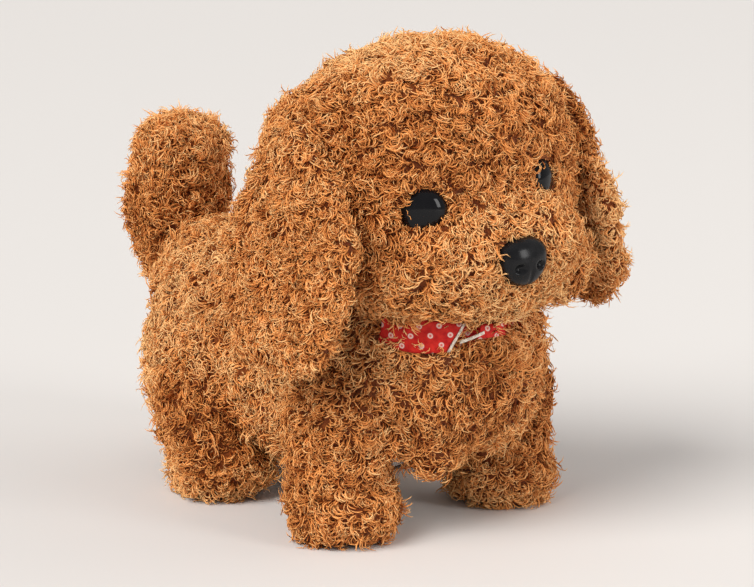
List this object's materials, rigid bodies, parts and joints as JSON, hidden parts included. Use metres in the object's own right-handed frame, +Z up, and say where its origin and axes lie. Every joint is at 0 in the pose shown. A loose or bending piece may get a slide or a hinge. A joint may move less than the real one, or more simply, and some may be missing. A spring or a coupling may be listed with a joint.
{
  "type": "walking plush puppy toy",
  "caption": "Standing curly-plush puppy toy with a geared walking mechanism, swinging legs, wagging tail, nodding head, lifting ears, glossy eyes and nose, and a dotted neckerchief.",
  "frame": {"origin": "on the floor under the middle of the toy", "axes": "+Z up; the puppy faces -Y; its left side is +X"},
  "size_m": [0.154, 0.2393, 0.1774],
  "materials": {
    "curly_plush": "curly long-pile plush, caramel brown",
    "red_cotton": "red printed cotton with small pale dots",
    "black_gloss": "glossy moulded",
    "grey_abs": "moulded, fine grain",
    "white_acetal": "moulded",
    "steel": "plain",
    "plated_brass": "pressed",
    "board_green": "solder mask",
    "speaker_black": "paper cone in a black basket",
    "black_plastic": "moulded",
    "cell_jacket": "plain printed sleeve"
  },
  "bodies": {
    "body": {"body_plush": "curly_plush", "lower_chassis": "grey_abs", "upper_chassis": "grey_abs", "battery_tray": "grey_abs", "left_battery_cell": "cell_jacket", "right_battery_cell": "cell_jacket", "battery_bridge_contact": "plated_brass", "battery_plate_contact": "plated_brass", "battery_spring_contact": "steel", "power_switch_case": "black_plastic", "sound_board": "board_green", "speaker": "speaker_black", "motor_can": "steel", "gearbox_plate": "grey_abs", "reduction_axle": "steel", "neck_post": "grey_abs", "tail_bracket": "grey_abs", "neckerchief_band": "red_cotton", "neckerchief_right_end": "red_cotton", "neckerchief_left_end": "red_cotton", "front_right_chassis_screw": "steel", "front_left_chassis_screw": "steel", "rear_right_chassis_screw": "steel", "rear_left_chassis_screw": "steel", "front_right_hip_pin": "steel", "front_left_hip_pin": "steel", "rear_right_hip_pin": "steel", "rear_left_hip_pin": "steel"},
    "crankshaft": {"crank_axle": "steel", "crank_gear": "white_acetal", "right_crank_disc": "white_acetal", "left_crank_disc": "white_acetal"},
    "reduction_gear": {"reduction_gear": "white_acetal"},
    "motor_rotor": {"motor_pinion": "white_acetal"},
    "right_link": {"right_link_rod": "white_acetal"},
    "left_link": {"left_link_rod": "white_acetal"},
    "head": {"head_frame": "grey_abs", "neck_pin": "steel", "head_plush": "curly_plush", "right_eye": "black_gloss", "left_eye": "black_gloss", "nose": "black_gloss", "right_eye_washer": "steel", "left_eye_washer": "steel", "nose_washer": "steel"},
    "right_ear": {"right_ear_plush": "curly_plush"},
    "left_ear": {"left_ear_plush": "curly_plush"},
    "tail": {"tail_lever": "grey_abs", "tail_plush": "curly_plush"},
    "battery_door": {"battery_door": "grey_abs", "battery_door_screw": "steel"},
    "power_switch": {"power_switch_knob": "black_plastic"},
    "front_right_leg": {"front_right_leg_core": "grey_abs", "front_right_leg_plush": "curly_plush"},
    "front_left_leg": {"front_left_leg_core": "grey_abs", "front_left_leg_plush": "curly_plush"},
    "rear_right_leg": {"rear_right_leg_core": "grey_abs", "rear_right_leg_plush": "curly_plush"},
    "rear_left_leg": {"rear_left_leg_core": "grey_abs", "rear_left_leg_plush": "curly_plush"}
  },
  "joints": [
    {"name": "crank_spin", "type": "hinge", "parent": "body", "child": "crankshaft", "pos_m": [-0.00105, -0.05535, 0.056], "axis": [1, 0, 0], "continuous": true},
    {"name": "reduction_spin", "type": "hinge", "parent": "body", "child": "reduction_gear", "pos_m": [-0.00105, -0.04101, 0.05984], "axis": [1, 0, 0], "continuous": true},
    {"name": "motor_spin", "type": "hinge", "parent": "body", "child": "motor_rotor", "pos_m": [-0.00105, -0.02792, 0.05916], "axis": [1, 0, 0], "continuous": true},
    {"name": "front_right_hip", "type": "hinge", "parent": "body", "child": "front_right_leg", "pos_m": [-0.03905, -0.05535, 0.044], "axis": [1, 0, 0], "range_deg": [-12, 12]},
    {"name": "front_left_hip", "type": "hinge", "parent": "body", "child": "front_left_leg", "pos_m": [0.03695, -0.05535, 0.044], "axis": [1, 0, 0], "range_deg": [-12, 12]},
    {"name": "rear_right_hip", "type": "hinge", "parent": "body", "child": "rear_right_leg", "pos_m": [-0.03905, 0.01865, 0.044], "axis": [1, 0, 0], "range_deg": [-12, 12]},
    {"name": "rear_left_hip", "type": "hinge", "parent": "body", "child": "rear_left_leg", "pos_m": [0.03695, 0.01865, 0.044], "axis": [1, 0, 0], "range_deg": [-12, 12]},
    {"name": "right_link_slide", "type": "slide", "parent": "body", "child": "right_link", "axis": [0, 1, 0], "range_m": [-0.0026, 0.0026]},
    {"name": "left_link_slide", "type": "slide", "parent": "body", "child": "left_link", "axis": [0, 1, 0], "range_m": [-0.0026, 0.0026]},
    {"name": "tail_wag", "type": "hinge", "parent": "body", "child": "tail", "pos_m": [-0.00105, 0.06865, 0.072], "axis": [0, 0, 1], "range_deg": [-18.5, 18.5]},
    {"name": "head_nod", "type": "hinge", "parent": "body", "child": "head", "pos_m": [-0.00105, -0.05935, 0.09], "axis": [1, 0, 0], "range_deg": [-3.2, 3.2]},
    {"name": "right_ear_lift", "type": "hinge", "parent": "head", "child": "right_ear", "pos_m": [-0.06165, -0.06213, 0.14894], "axis": [0.0698, 0.9976, 0], "range_deg": [0, 50]},
    {"name": "left_ear_lift", "type": "hinge", "parent": "head", "child": "left_ear", "pos_m": [0.04981, -0.06992, 0.15675], "axis": [-0.0698, -0.9976, 0], "range_deg": [0, 50]},
    {"name": "battery_door_hinge", "type": "hinge", "parent": "body", "child": "battery_door", "pos_m": [-0.00105, 0.04065, 0.027], "axis": [1, 0, 0], "range_deg": [0, 100]},
    {"name": "power_switch_slide", "type": "slide", "parent": "body", "child": "power_switch", "axis": [1, 0, 0], "range_m": [0, 0.004]}
  ],
  "couplings": [
    {"joint": "reduction_spin", "follows": "crank_spin", "ratio": -3.2},
    {"joint": "motor_spin", "follows": "crank_spin", "ratio": 9.9556},
    {"joint": "front_left_hip", "follows": "front_right_hip", "ratio": -1},
    {"joint": "rear_right_hip", "follows": "front_right_hip", "ratio": 1},
    {"joint": "rear_left_hip", "follows": "front_right_hip", "ratio": -1},
    {"joint": "right_link_slide", "follows": "front_right_hip", "m_per_rad": 0.012},
    {"joint": "left_link_slide", "follows": "front_right_hip", "m_per_rad": -0.012},
    {"joint": "tail_wag", "follows": "front_right_hip", "ratio": 1.5},
    {"joint": "head_nod", "follows": "front_right_hip", "ratio": 0.25}
  ]
}
